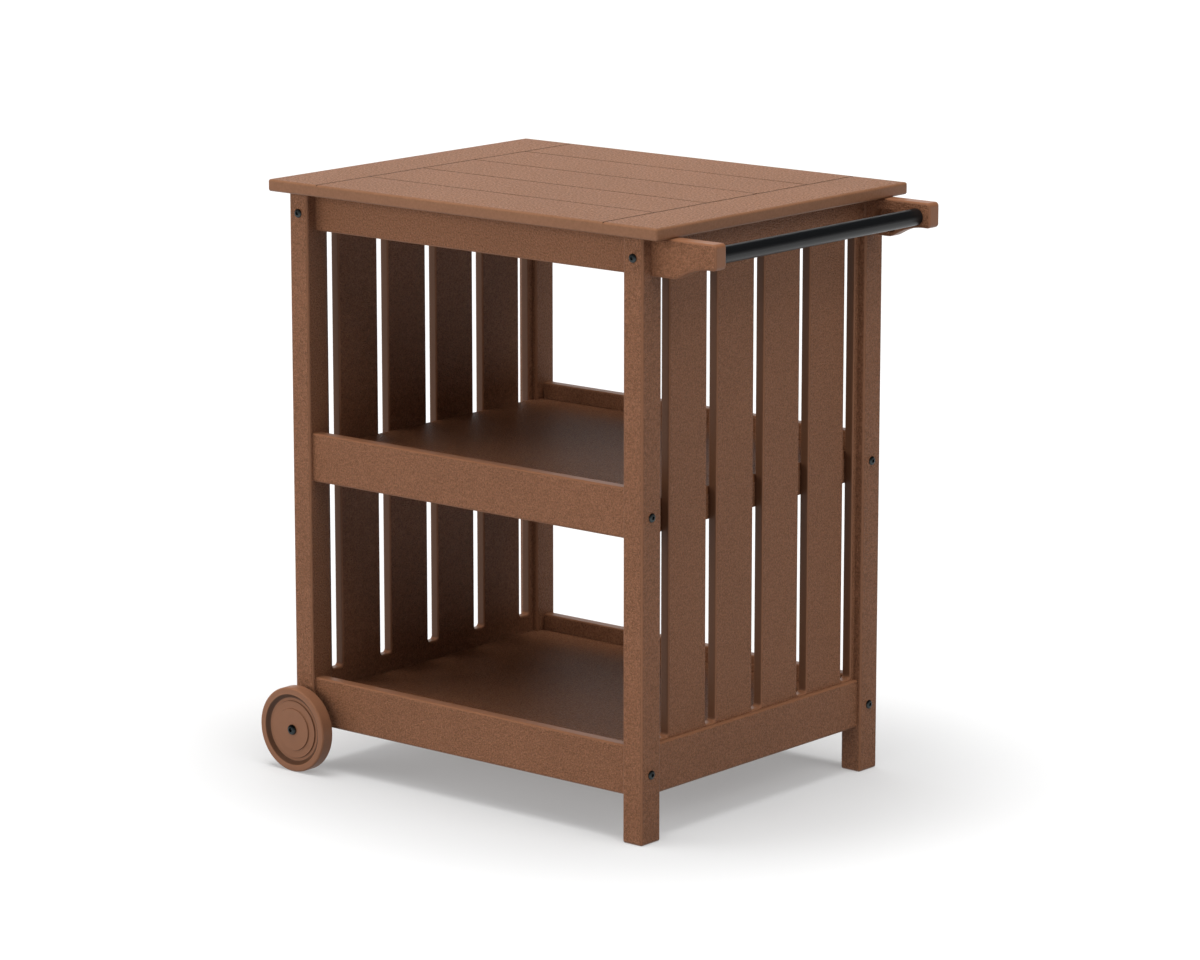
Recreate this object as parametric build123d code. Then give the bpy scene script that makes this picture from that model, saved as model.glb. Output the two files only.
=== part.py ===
from build123d import *
from math import cos, radians, sin
import os

# Wheeled bar cart in plastic lumber, in millimetres.
# X runs along the cart towards the handle, Y runs from the front to the back, Z is up.
# The origin is on the floor, under the middle of the whole cart.

# Frame
cart_height = 914.4
frame_length = 691.6
frame_depth = 570.6
joint_gap = 0.2

# Posts
post_width = 36.5
post_depth = 43.0
post_rounding = 3.5
wheeled_post_lift = 38.0

# Lumber and sheet
board_thickness = 19.05
shelf_thickness = 12.7
board_rounding = 3.0

# Top
top_thickness = 18.4
top_overhang_side = 12.4
top_overhang_left = 32.5
top_overhang_right = 36.0
top_rounding = 3.6
groove_width = 2.6
groove_depth = 2.6
cross_groove_inset = 100.1
long_groove_count = 4
long_groove_pitch = 119.9

# Aprons and rails
apron_height = 57.15
long_apron_recess = 18.5
rail_recess = 6.35
rail_height = 75.0
bottom_rail_level = 70.6
mid_rail_level = 453.5
tenon_thickness = 9.5
tenon_length = 14.0
tenon_shoulder = 12.5

# Shelves
shelf_drop = 25.4
shelf_gap = 0.8

# Slotted end panels
panel_recess = 12.7
panel_thickness = 15.9
panel_head_lap = 19.0
panel_foot_depth = 6.0
slot_count = 5
slot_width = 23.4
end_slat_width = 10.0
slot_corner = 5.5
slot_margin = 3.0
slot_rounding = 2.8

# Handle
bracket_reach = 117.5
bracket_nose_height = 38.4
bracket_nose_flat = 12.5
bracket_nose_corner = 6.0
bracket_rounding = 3.4
lobe_radius = 20.0
swoop_radius = 100.0
swoop_angle = 28.0
bar_radius = 12.7
bar_wall = 1.6
bar_seat = 12.0
bar_fit = 0.1
bar_end_distance = 25.4
bar_drop = 22.4
pocket_length = 44.0
pocket_height = 35.0
pocket_corner = 13.0
pocket_wall = 6.5
pocket_setback = 13.0
pocket_top_drop = 16.0

# Wheels
wheel_radius = 66.3
wheel_width = 22.6
wheel_gap = 7.6
wheel_rounding = 3.0
rim_inner_radius = 56.0
dish_radius = 50.4
dish_step_radii = (44.5, 32.4)
dish_step_height = 1.8
dish_step_run = 0.8
axle_radius = 4.75
axle_thread_radius = 3.9
axle_thread_length = 24.0
axle_fit = 0.08
axle_head_radius = 8.0
axle_head_height = 4.4
bush_wall = 2.3
spacer_radius = 11.0
insert_wall = 2.1
end_play = 0.3

# Screws
screw_radius = 3.2
screw_head_radius = 6.7
screw_head_height = 2.9
screw_bite = 25.0
screw_fit = 0.2
thread_fit = 0.05
end_apron_screw_drop = 30.3
rail_screw_height = 33.6
apron_screw_drop = 42.0
small_screw_radius = 2.0
small_head_radius = 4.0
small_head_height = 2.4
small_head_chamfer = 0.9
small_screw_bite = 9.0

# Steel angles that hold the top down
angle_leg = 25.0
angle_width = 19.0
angle_thickness = 2.0

LEFT = -1
RIGHT = 1
FRONT = -1
BACK = 1
ENDS = {"left": LEFT, "right": RIGHT}
SIDES = {"front": FRONT, "back": BACK}

# Places that follow from the sizes
axle_inset = post_width / 2
left_reach = max(wheel_radius - axle_inset, top_overhang_left)
right_reach = max(bracket_reach, top_overhang_right)
right_face = (frame_length + left_reach - right_reach) / 2
left_face = right_face - frame_length
frame_middle = (left_face + right_face) / 2
side_face = frame_depth / 2

top_underside = cart_height - top_thickness
apron_level = top_underside - apron_height
rail_inner = rail_recess + board_thickness
long_apron_inner = long_apron_recess + board_thickness
panel_inner = panel_recess + panel_thickness
panel_width = frame_depth - 2 * post_depth
slat_width = (panel_width - 2 * end_slat_width - slot_count * slot_width) / (slot_count - 1)
bottom_shelf_level = bottom_rail_level + rail_height - shelf_drop
mid_shelf_level = mid_rail_level + rail_height - shelf_drop
cleat_height = rail_height - shelf_drop - shelf_thickness
bottom_rail_top = bottom_rail_level + rail_height

end_apron_screw_level = top_underside - end_apron_screw_drop
apron_screw_level = top_underside - apron_screw_drop
pocket_depth = post_depth - long_apron_recess - pocket_wall
apron_screw_inset = long_apron_recess + pocket_wall + pocket_depth / 2 - 1.0
axle_level = wheel_radius
hub_depth = dish_step_height
bush_radius = axle_radius + axle_fit + bush_wall
insert_radius = axle_thread_radius + thread_fit + insert_wall
spacer_length = wheel_gap + hub_depth - end_play
head_seat = wheel_gap + wheel_width - hub_depth + end_play


def save(name, piece):
    export_step(piece, os.path.join("parts", name + ".step"))


def inward_x(end, distance):
    """X of a plane that lies a distance inside the outer face of the posts at one end."""
    outer = right_face if end == RIGHT else left_face
    return outer - end * distance


def inward_y(side, distance):
    """Y of a plane that lies a distance inside the outer face of the posts on one side."""
    return side * (side_face - distance)


def block(x_range, y_range, z_range):
    """Straight block between two planes along each axis, given in any order."""
    ranges = [sorted(pair) for pair in (x_range, y_range, z_range)]
    sizes = [high - low for low, high in ranges]
    middles = [(low + high) / 2 for low, high in ranges]
    return Pos(*middles) * Box(*sizes)


def ease_along(piece, axis, radius):
    """Round the long edges that run along one axis."""
    return fillet(piece.edges().filter_by(axis), radius)


def plug(seat, outward, radius, depth):
    """Round plug that starts at a seat and runs inwards, for a hole or a shank."""
    return Plane(origin=seat, z_dir=outward) * Pos(0, 0, -depth / 2) * Cylinder(radius, depth)


def button_screw(seat, outward, shank, length, head, height):
    """Screw whose domed head stands on its seat and whose shank runs inwards."""
    with BuildPart() as screw:
        with BuildSketch(Plane.XZ):
            with BuildLine():
                Line((0, -length), (shank, -length))
                Line((shank, -length), (shank, 0))
                Line((shank, 0), (head, 0))
                Line((head, 0), (head, height * 0.3))
                ThreePointArc((head, height * 0.3), (head * 0.72, height * 0.78), (head * 0.3, height))
                Line((head * 0.3, height), (0, height))
                Line((0, height), (0, -length))
            make_face()
        revolve(axis=Axis.Z)
    return Plane(origin=seat, z_dir=outward) * screw.part


# Screws that pass through the posts: seat on the post, outward direction and clamped depth
def end_apron_screw(side, end):
    seat = (inward_x(end, post_width / 2), inward_y(side, 0), end_apron_screw_level)
    return seat, (0, side, 0), post_depth


def rail_screw(side, end, rail_level):
    seat = (inward_x(end, 0), inward_y(side, post_depth / 2), rail_level + rail_screw_height)
    return seat, (end, 0, 0), post_width


def long_apron_screw(side, end):
    """Screw into the end of a long apron, from the bracket's pocket at the handle end."""
    lead = pocket_setback if end == RIGHT else 0.0
    seat = (inward_x(end, -lead), inward_y(side, apron_screw_inset), apron_screw_level)
    return seat, (end, 0, 0), post_width + lead


def post_screws(side, end):
    screws = [end_apron_screw(side, end), long_apron_screw(side, end)]
    screws += [rail_screw(side, end, level) for level in (bottom_rail_level, mid_rail_level)]
    return screws


def full_screw(placing):
    seat, outward, clamped = placing
    length = clamped + screw_bite
    return button_screw(seat, outward, screw_radius, length, screw_head_radius, screw_head_height)


def clearance_hole(placing):
    seat, outward, clamped = placing
    return plug(seat, outward, screw_radius + screw_fit, clamped)


def pilot_hole(placing):
    seat, outward, clamped = placing
    return plug(seat, outward, screw_radius + thread_fit, clamped + screw_bite)


# Posts
def end_rail_tenon(side, end, grow):
    """Stub tenon of an end bottom rail, or its mortise when grown by the joint gap."""
    middle = rail_recess + board_thickness / 2
    half = tenon_thickness / 2 + grow
    x_range = (inward_x(end, middle - half), inward_x(end, middle + half))
    y_range = (inward_y(side, post_depth), inward_y(side, post_depth - tenon_length - grow))
    low = bottom_rail_level + tenon_shoulder - grow
    high = bottom_rail_top - tenon_shoulder + grow
    return block(x_range, y_range, (low, high))


def axle_place(side, distance):
    """Point on the axle of one wheel, a distance inside the outer face of its post."""
    return (inward_x(LEFT, axle_inset), inward_y(side, distance), axle_level)


def post(side, end):
    foot = 0.0 if end == RIGHT else wheeled_post_lift
    x_range = (inward_x(end, 0), inward_x(end, post_width))
    y_range = (inward_y(side, 0), inward_y(side, post_depth))
    body = block(x_range, y_range, (foot, top_underside))
    foot_edges = body.faces().sort_by(Axis.Z)[0].edges()
    body = fillet(body.edges().filter_by(Axis.Z) + foot_edges, post_rounding)
    for placing in post_screws(side, end):
        body -= clearance_hole(placing)
    body -= end_rail_tenon(side, end, joint_gap)
    if end == LEFT:
        depth = axle_thread_length + joint_gap
        body -= plug(axle_place(side, 0), (0, side, 0), insert_radius + thread_fit, depth)
    return body


# Long aprons and rails on the front and the back
def long_board(side, recess, low, high):
    x_range = (inward_x(LEFT, post_width), inward_x(RIGHT, post_width))
    y_range = (inward_y(side, recess), inward_y(side, recess + board_thickness))
    return block(x_range, y_range, (low, high))


def long_apron(side):
    body = long_board(side, long_apron_recess, apron_level, top_underside)
    body = fillet(body.faces().sort_by(Axis.Z)[0].edges().filter_by(Axis.X), board_rounding)
    for end in ENDS.values():
        body -= pilot_hole(long_apron_screw(side, end))
    return body


def long_rail(side, level):
    body = ease_along(long_board(side, rail_recess, level, level + rail_height), Axis.X, board_rounding)
    for end in ENDS.values():
        body -= pilot_hole(rail_screw(side, end, level))
    return body


# End aprons and end rails, rebated on the inside for the slotted panels
def end_board(end, low, high):
    x_range = (inward_x(end, rail_recess), inward_x(end, rail_inner))
    y_range = (inward_y(FRONT, post_depth), inward_y(BACK, post_depth))
    return block(x_range, y_range, (low, high))


def rebate(end, low, high):
    x_range = (inward_x(end, panel_recess), inward_x(end, rail_inner + joint_gap))
    y_range = (inward_y(FRONT, post_depth), inward_y(BACK, post_depth))
    return block(x_range, y_range, (low, high))


def end_apron(end):
    body = end_board(end, apron_level, top_underside)
    body = fillet(body.faces().sort_by(Axis.Z)[0].edges().filter_by(Axis.Y), board_rounding)
    body -= rebate(end, apron_level, apron_level + panel_head_lap + joint_gap)
    for side in SIDES.values():
        body -= pilot_hole(end_apron_screw(side, end))
    return body


def end_rail(end):
    body = ease_along(end_board(end, bottom_rail_level, bottom_rail_top), Axis.Y, board_rounding)
    body -= rebate(end, bottom_shelf_level - panel_foot_depth - joint_gap, bottom_rail_top)
    for side in SIDES.values():
        body += end_rail_tenon(side, end, 0.0)
    return body


# Slotted panels: one sheet, cut through by tall slots with eased lips
def slot_centre(index):
    return (index - (slot_count - 1) / 2) * (slat_width + slot_width)


def slotted_panel(end):
    low = bottom_shelf_level - panel_foot_depth
    high = apron_level + panel_head_lap
    x_range = (inward_x(end, panel_recess), inward_x(end, panel_inner))
    y_range = (inward_y(FRONT, post_depth + joint_gap), inward_y(BACK, post_depth + joint_gap))
    body = block(x_range, y_range, (low, high))
    slot_low = bottom_rail_top + slot_margin
    slot_high = apron_level - slot_margin
    middle_x = sum(x_range) / 2
    middle_z = (slot_low + slot_high) / 2
    outline = RectangleRounded(slot_width, slot_high - slot_low, slot_corner)
    cutter = extrude(Plane.YZ * outline, panel_thickness, both=True)
    for index in range(slot_count):
        body -= Pos(middle_x, slot_centre(index), middle_z) * cutter
    lips = body.edges().filter_by(lambda edge: on_slot_lip(edge, x_range, slot_low, slot_high))
    return fillet(lips, slot_rounding)


def on_slot_lip(edge, x_range, slot_low, slot_high):
    """True for the edges of a slot that lie in either face of the sheet."""
    centre = edge.center()
    in_face = min(abs(centre.X - x) for x in x_range) < 0.01
    in_slot = slot_low - 0.01 < centre.Z < slot_high + 0.01
    reach = slot_centre(slot_count - 1) + slot_width / 2 + 0.01
    return in_face and in_slot and abs(centre.Y) < reach


# Shelves, notched round the posts, and the cleats that carry them
def shelf(level):
    edge_x = panel_inner + shelf_gap
    edge_y = rail_inner + shelf_gap
    x_range = (inward_x(LEFT, edge_x), inward_x(RIGHT, edge_x))
    y_range = (inward_y(FRONT, edge_y), inward_y(BACK, edge_y))
    body = block(x_range, y_range, (level - shelf_thickness, level))
    for end in ENDS.values():
        for side in SIDES.values():
            notch_x = (inward_x(end, 0), inward_x(end, post_width + shelf_gap))
            notch_y = (inward_y(side, 0), inward_y(side, post_depth + shelf_gap))
            body -= block(notch_x, notch_y, (level - shelf_thickness, level))
    return body


def end_cleat(end, backing, shelf_level):
    """Cleat across one end, against the plane that backs it."""
    x_range = (inward_x(end, backing), inward_x(end, backing + board_thickness))
    y_range = (inward_y(FRONT, post_depth), inward_y(BACK, post_depth))
    underside = shelf_level - shelf_thickness
    body = block(x_range, y_range, (underside - cleat_height, underside))
    for placing in end_cleat_screws(end, backing, shelf_level):
        body -= small_clearance_hole(placing)
    return body


def side_cleat(side, shelf_level):
    """Cleat along a long rail, between the end cleats."""
    reach = panel_inner + board_thickness + shelf_gap
    x_range = (inward_x(LEFT, reach), inward_x(RIGHT, reach))
    y_range = (inward_y(side, rail_inner), inward_y(side, rail_inner + board_thickness))
    underside = shelf_level - shelf_thickness
    body = block(x_range, y_range, (underside - cleat_height, underside))
    for placing in side_cleat_screws(side, shelf_level):
        body -= small_clearance_hole(placing)
    return body


# Small screws: seat, outward direction and clamped depth
def end_cleat_screws(end, backing, shelf_level):
    level = shelf_level - shelf_thickness - cleat_height / 2
    x = inward_x(end, backing + board_thickness)
    spacing = slat_width + slot_width
    return [((x, y, level), (-end, 0, 0), board_thickness) for y in (-1.5 * spacing, 1.5 * spacing)]


def side_cleat_screws(side, shelf_level):
    level = shelf_level - shelf_thickness - cleat_height / 2
    y = inward_y(side, rail_inner + board_thickness)
    reach = frame_length / 4
    places = (frame_middle - reach, frame_middle + reach)
    return [((x, y, level), (0, -side, 0), board_thickness) for x in places]


def small_screw(placing):
    """Pan-head screw with a chamfered rim."""
    seat, outward, clamped = placing
    head = Pos(0, 0, small_head_height / 2) * Cylinder(small_head_radius, small_head_height)
    rim = head.faces().sort_by(Axis.Z)[-1].edges()
    head = Plane(origin=seat, z_dir=outward) * chamfer(rim, small_head_chamfer)
    return head + plug(seat, outward, small_screw_radius, clamped + small_screw_bite)


def small_clearance_hole(placing):
    seat, outward, clamped = placing
    return plug(seat, outward, small_screw_radius + screw_fit, clamped)


def small_pilot_hole(placing):
    seat, outward, clamped = placing
    return plug(seat, outward, small_screw_radius + thread_fit, clamped + small_screw_bite)


def drill_for_small_screws(piece, placings):
    for placing in placings:
        piece -= small_pilot_hole(placing)
    return piece


# Top: one sheet with grooves routed into it, so that it looks planked
top_left = left_face - top_overhang_left
top_right = right_face + top_overhang_right
top_half_depth = side_face + top_overhang_side


def lying_at(edges, axis, place):
    """Edges that lie in one plane square to an axis."""
    return edges.filter_by_position(axis, place - 0.01, place + 0.01)


def top_groove(start, finish):
    """Straight V-shaped cutter along the top face between two points of it."""
    start_point = Vector(*start, cart_height)
    along = Vector(*finish, cart_height) - start_point
    plane = Plane(origin=start_point, x_dir=Vector(0, 0, 1).cross(along), z_dir=along)
    half = groove_width / 2
    outline = Polyline((-half, 0), (0, -groove_depth), (half, 0), close=True)
    return extrude(plane * make_face(outline), along.length)


def tabletop():
    body = block((top_left, top_right), (-top_half_depth, top_half_depth), (top_underside, cart_height))
    body = fillet(body.edges().filter_by(Axis.Z), top_rounding)
    body = fillet(body.faces().filter_by(Axis.Z).edges(), top_rounding)
    cross_left = top_left + cross_groove_inset
    cross_right = top_right - cross_groove_inset
    for x in (cross_left, cross_right):
        body -= top_groove((x, -top_half_depth), (x, top_half_depth))
    for index in range(long_groove_count):
        y = (index - (long_groove_count - 1) / 2) * long_groove_pitch
        body -= top_groove((cross_left, y), (cross_right, y))
    return drill_for_small_screws(body, angle_top_screws())


# Steel angles between the long aprons and the top
angle_places = (frame_middle - frame_length / 4, frame_middle + frame_length / 4)


def top_angle(side, x):
    """Bent steel angle in the corner between a long apron and the top."""
    corner = (x, inward_y(side, long_apron_inner), top_underside)
    profile = Polyline(
        (0, 0),
        (angle_leg, 0),
        (angle_leg, -angle_thickness),
        (angle_thickness, -angle_thickness),
        (angle_thickness, -angle_leg),
        (0, -angle_leg),
        close=True,
    )
    plane = Plane(origin=corner, x_dir=(0, -side, 0), z_dir=(-side, 0, 0))
    body = extrude(plane * make_face(profile), angle_width / 2, both=True)
    for placing in angle_screws(side, x):
        body -= small_clearance_hole(placing)
    return body


def angle_screws(side, x):
    """One screw up into the top and one into the apron."""
    hole = angle_leg * 0.6
    wall = inward_y(side, long_apron_inner)
    up = ((x, wall - side * hole, top_underside - angle_thickness), (0, 0, -1), angle_thickness)
    seat = (x, wall - side * angle_thickness, top_underside - hole)
    return [up, (seat, (0, -side, 0), angle_thickness)]


def all_angle_screws():
    return [screw for side in SIDES.values() for x in angle_places for screw in angle_screws(side, x)]


def angle_top_screws():
    return [angle_screws(side, x)[0] for side in SIDES.values() for x in angle_places]


# Handle brackets: butted to the posts, swept up to a nose that holds the bar
def bracket_outline():
    """Side view of a bracket, from the post's face and the underside of the apron."""
    turn = radians(swoop_angle)
    rise = apron_height - bracket_nose_height
    arcs_rise = (lobe_radius + swoop_radius) * (1 - cos(turn))
    ramp = (rise - arcs_rise) / sin(turn)
    swoop_end = bracket_reach - bracket_nose_flat
    ramp_end = swoop_end - swoop_radius * sin(turn)
    ramp_start = ramp_end - ramp * cos(turn)
    lobe_start = ramp_start - lobe_radius * sin(turn)

    def on_lobe(angle):
        return (lobe_start + lobe_radius * sin(angle), lobe_radius * (1 - cos(angle)))

    def on_swoop(angle):
        return (swoop_end - swoop_radius * sin(angle), rise - swoop_radius * (1 - cos(angle)))

    lower = Line((0, 0), on_lobe(0))
    lobe = ThreePointArc(on_lobe(0), on_lobe(turn / 2), on_lobe(turn))
    ramp_line = Line(on_lobe(turn), on_swoop(turn))
    swoop = ThreePointArc(on_swoop(turn), on_swoop(turn / 2), on_swoop(0))
    nose = [on_swoop(0), (bracket_reach, rise), (bracket_reach, apron_height), (0, apron_height), (0, 0)]
    return make_face([lower, lobe, ramp_line, swoop, Polyline(*nose)])


def handle_bracket(side):
    thickness = post_depth - long_apron_recess
    middle = inward_y(side, long_apron_recess + thickness / 2)
    base = Plane(origin=(right_face, middle, apron_level), x_dir=(1, 0, 0), z_dir=(0, -1, 0))
    body = extrude(base * bracket_outline(), thickness / 2, both=True)
    nose_edges = lying_at(body.edges().filter_by(Axis.Y), Axis.X, right_face + bracket_reach)
    body = fillet(nose_edges, bracket_nose_corner)
    rims = body.faces().filter_by(Axis.Y).edges()
    rims = [edge for edge in rims if edge.center().X > right_face + 0.01]
    body = fillet(rims, bracket_rounding)
    body -= bracket_pocket(side)
    body -= plug(bar_end(side), (0, -side, 0), bar_radius + bar_fit, bar_seat + joint_gap)
    screw = long_apron_screw(side, RIGHT)
    body -= clearance_hole(screw)
    body -= head_room(screw)
    return body


def head_room(placing):
    """Flat seat for a screw head at the rounded end of the pocket."""
    seat, outward, clamped = placing
    room = Cylinder(screw_head_radius + screw_fit, pocket_corner)
    return Plane(origin=seat, z_dir=outward) * Pos(0, 0, pocket_corner / 2) * room


def bracket_pocket(side):
    """Pocket milled into the inner face, where the head of the long screw sits."""
    middle_x = right_face + pocket_setback + pocket_length / 2
    middle_z = top_underside - pocket_top_drop - pocket_height / 2
    outline = RectangleRounded(pocket_length, pocket_height, pocket_corner)
    mouth = (middle_x, inward_y(side, post_depth), middle_z)
    plane = Plane(origin=mouth, x_dir=(1, 0, 0), z_dir=(0, side, 0))
    return extrude(plane * outline, pocket_depth)


def bar_end(side):
    """Point where the bar's axis crosses the inner face of a bracket."""
    x = right_face + bracket_reach - bar_end_distance
    return (x, inward_y(side, post_depth), top_underside - bar_drop)


def handle_bar():
    x, y, z = bar_end(BACK)
    half_length = y + bar_seat
    tube = Cylinder(bar_radius, 2 * half_length) - Cylinder(bar_radius - bar_wall, 2 * half_length)
    return Pos(x, 0, z) * Rot(90, 0, 0) * tube


# Wheels
def dish_outline():
    """Radius and depth of the stepped dish in one face of a wheel, from the bore outwards."""
    steps = sorted(dish_step_radii)
    points = [(bush_radius + thread_fit, hub_depth)]
    depth = hub_depth
    for radius in steps:
        points.append((radius, depth))
        depth += dish_step_height
        points.append((radius + dish_step_run, depth))
    points.append((dish_radius, depth))
    points.append((rim_inner_radius, 0))
    return points


def wheel(side):
    half = wheel_width / 2
    dish = dish_outline()
    front = [(radius, half - depth) for radius, depth in dish]
    back = [(radius, depth - half) for radius, depth in reversed(dish)]
    rim = [(wheel_radius, half), (wheel_radius, -half)]
    face = make_face(Polyline(*front, *rim, *back, close=True))
    body = revolve(face, Axis.Y)
    tread_edges = body.edges().filter_by(GeomType.CIRCLE)
    tread_edges = tread_edges.filter_by(lambda edge: abs(edge.radius - wheel_radius) < 0.01)
    body = fillet(tread_edges, wheel_rounding)
    return Pos(*axle_place(side, -wheel_gap - half)) * body


def sleeve(side, start, end, outer, inner):
    """Sleeve round the axle between two distances outside the post's face."""
    ring = Cylinder(outer, end - start) - Cylinder(inner, end - start)
    return Pos(*axle_place(side, -(start + end) / 2)) * Rot(90, 0, 0) * ring


def wheel_bush(side):
    start = wheel_gap + hub_depth
    return sleeve(side, start, start + wheel_width - 2 * hub_depth, bush_radius, axle_radius + axle_fit)


def wheel_spacer(side):
    return sleeve(side, 0, spacer_length, spacer_radius, axle_radius + axle_fit)


def axle_insert(side):
    return sleeve(side, -axle_thread_length, 0, insert_radius, axle_thread_radius + thread_fit)


def axle_bolt(side):
    outward = (0, side, 0)
    seat = axle_place(side, -head_seat)
    bolt = button_screw(seat, outward, axle_radius, head_seat, axle_head_radius, axle_head_height)
    return bolt + plug(axle_place(side, 0), outward, axle_thread_radius, axle_thread_length)


def group(solids):
    """Identical fasteners as separate solids under one name."""
    return Compound(children=list(solids))


os.makedirs("parts", exist_ok=True)

for side_name, side in SIDES.items():
    for end_name, end in ENDS.items():
        save(f"{side_name}_{end_name}_post", post(side, end))

for side_name, side in SIDES.items():
    apron_screws_here = [screw for x in angle_places for screw in angle_screws(side, x)[1:]]
    save(f"{side_name}_apron", drill_for_small_screws(long_apron(side), apron_screws_here))
    for level_name, level, shelf_level in (
        ("mid", mid_rail_level, mid_shelf_level),
        ("bottom", bottom_rail_level, bottom_shelf_level),
    ):
        rail = drill_for_small_screws(long_rail(side, level), side_cleat_screws(side, shelf_level))
        save(f"{side_name}_{level_name}_rail", rail)
        save(f"{level_name}_shelf_{side_name}_cleat", side_cleat(side, shelf_level))

for end_name, end in ENDS.items():
    save(f"{end_name}_end_apron", end_apron(end))
    bottom_screws = end_cleat_screws(end, rail_inner, bottom_shelf_level)
    save(f"{end_name}_end_rail", drill_for_small_screws(end_rail(end), bottom_screws))
    mid_screws = end_cleat_screws(end, panel_inner, mid_shelf_level)
    save(f"{end_name}_slotted_panel", drill_for_small_screws(slotted_panel(end), mid_screws))
    save(f"bottom_shelf_{end_name}_cleat", end_cleat(end, rail_inner, bottom_shelf_level))
    save(f"mid_shelf_{end_name}_cleat", end_cleat(end, panel_inner, mid_shelf_level))

save("mid_shelf", shelf(mid_shelf_level))
save("bottom_shelf", shelf(bottom_shelf_level))

save("tabletop", tabletop())
save("top_angles", group(top_angle(side, x) for side in SIDES.values() for x in angle_places))

for side_name, side in SIDES.items():
    save(f"{side_name}_handle_bracket", handle_bracket(side))
    save(f"{side_name}_wheel", wheel(side))
    save(f"{side_name}_wheel_bush", wheel_bush(side))
    save(f"{side_name}_wheel_spacer", wheel_spacer(side))
    save(f"{side_name}_axle_insert", axle_insert(side))
    save(f"{side_name}_axle_bolt", axle_bolt(side))
save("handle_bar", handle_bar())

corners = [(side, end) for side in SIDES.values() for end in ENDS.values()]
rail_levels = (bottom_rail_level, mid_rail_level)
save("end_apron_screws", group(full_screw(end_apron_screw(*corner)) for corner in corners))
save("long_apron_screws", group(full_screw(long_apron_screw(*corner)) for corner in corners))
rail_placings = [rail_screw(*corner, level) for corner in corners for level in rail_levels]
save("rail_screws", group(full_screw(placing) for placing in rail_placings))

cleat_placings = []
for end in ENDS.values():
    cleat_placings += end_cleat_screws(end, rail_inner, bottom_shelf_level)
    cleat_placings += end_cleat_screws(end, panel_inner, mid_shelf_level)
for side in SIDES.values():
    cleat_placings += side_cleat_screws(side, bottom_shelf_level)
    cleat_placings += side_cleat_screws(side, mid_shelf_level)
save("cleat_screws", group(small_screw(placing) for placing in cleat_placings))
save("angle_screws", group(small_screw(placing) for placing in all_angle_screws()))
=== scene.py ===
import itertools
import math

import bmesh
import bpy
from mathutils import Euler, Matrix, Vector


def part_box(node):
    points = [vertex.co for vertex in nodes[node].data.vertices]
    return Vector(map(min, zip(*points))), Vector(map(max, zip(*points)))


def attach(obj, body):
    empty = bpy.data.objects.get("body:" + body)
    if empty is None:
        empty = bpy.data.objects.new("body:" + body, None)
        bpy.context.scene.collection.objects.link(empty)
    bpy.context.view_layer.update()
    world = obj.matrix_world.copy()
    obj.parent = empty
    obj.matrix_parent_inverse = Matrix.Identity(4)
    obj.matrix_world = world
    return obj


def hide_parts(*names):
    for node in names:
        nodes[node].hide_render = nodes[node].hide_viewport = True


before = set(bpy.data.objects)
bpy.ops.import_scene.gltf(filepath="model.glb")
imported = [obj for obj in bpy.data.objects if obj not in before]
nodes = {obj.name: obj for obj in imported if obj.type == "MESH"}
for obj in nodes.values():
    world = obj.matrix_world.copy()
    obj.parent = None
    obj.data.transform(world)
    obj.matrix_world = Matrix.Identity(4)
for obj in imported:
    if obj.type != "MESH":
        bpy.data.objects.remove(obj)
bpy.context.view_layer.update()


# Studio
# A seamless floor of white paper, which throws light up, under a ring of soft boxes: the main one straight
# overhead and weaker ones all round. A long lens looks at the cart's front right corner.
CAMERA_PLACE = Vector((4.452, -5.3146, 1.9298))
CAMERA_TILT = math.radians(78.01)
CAMERA_TURN = math.radians(40.0)
LENS_MM = 139.58
SENSOR_MM = 36.0
FLOOR_RADIUS = 45.0
FLOOR_SIDES = 96
VIEW_DEPTH = 4 * FLOOR_RADIUS
PAPER_WHITE = (1.0, 1.0, 1.0, 1.0)
FLOOR_PAPER = (0.44, 0.44, 0.44, 1.0)
# Distances from the cart's middle between which the paper's own light grows, which paints a soft shadow
# round the cart
FLOOR_REACH = (0.42, 0.80)
FLOOR_GLOW = (0.28, 0.43)
FLOOR_BOUNCE = (0.24, 0.50)
FLOOR_SHEEN = (0.70, 1.10)
ROOM_LIGHT = (0.95, 0.97, 1.0, 1.0)
ROOM_STRENGTH = 0.02
# Bearing from the front, height and spread in degrees, strength, and whether it shows in the sheen
SOFTBOXES = {
    "overhead_softbox": (0.0, 90.0, 40.0, 2.42, False),
    "high_right_softbox": (80.0, 60.0, 60.0, 0.90, False),
    "high_left_softbox": (-60.0, 60.0, 60.0, 0.85, False),
    "right_softbox": (92.0, 32.0, 40.0, 0.80, False),
    "front_softbox": (0.0, 10.0, 40.0, 1.20, False),
    "front_left_softbox": (-45.0, 10.0, 40.0, 1.50, False),
    "back_softbox": (225.0, 12.0, 40.0, 0.48, True),
}


def wire(tree, node, values):
    """Sets a node's inputs, by name or number, and links those whose value comes from another node."""
    for name, value in values.items():
        if isinstance(value, bpy.types.NodeSocket):
            tree.links.new(value, node.inputs[name])
        else:
            node.inputs[name].default_value = value


def put(tree, kind, values=None, **settings):
    """Adds a node, sets its properties and wires its inputs."""
    node = tree.nodes.new(kind)
    for name, value in settings.items():
        setattr(node, name, value)
    wire(tree, node, values or {})
    return node


def remap(tree, value, source, target=(0.0, 1.0), **settings):
    """The value carried from one range to another, and held at its ends."""
    limits = {"From Min": source[0], "From Max": source[1], "To Min": target[0], "To Max": target[1]}
    return put(tree, "ShaderNodeMapRange", {"Value": value, **limits}, **settings).outputs[0]


def add_object(name, data):
    thing = bpy.data.objects.new(name, data)
    bpy.context.scene.collection.objects.link(thing)
    return thing


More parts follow.
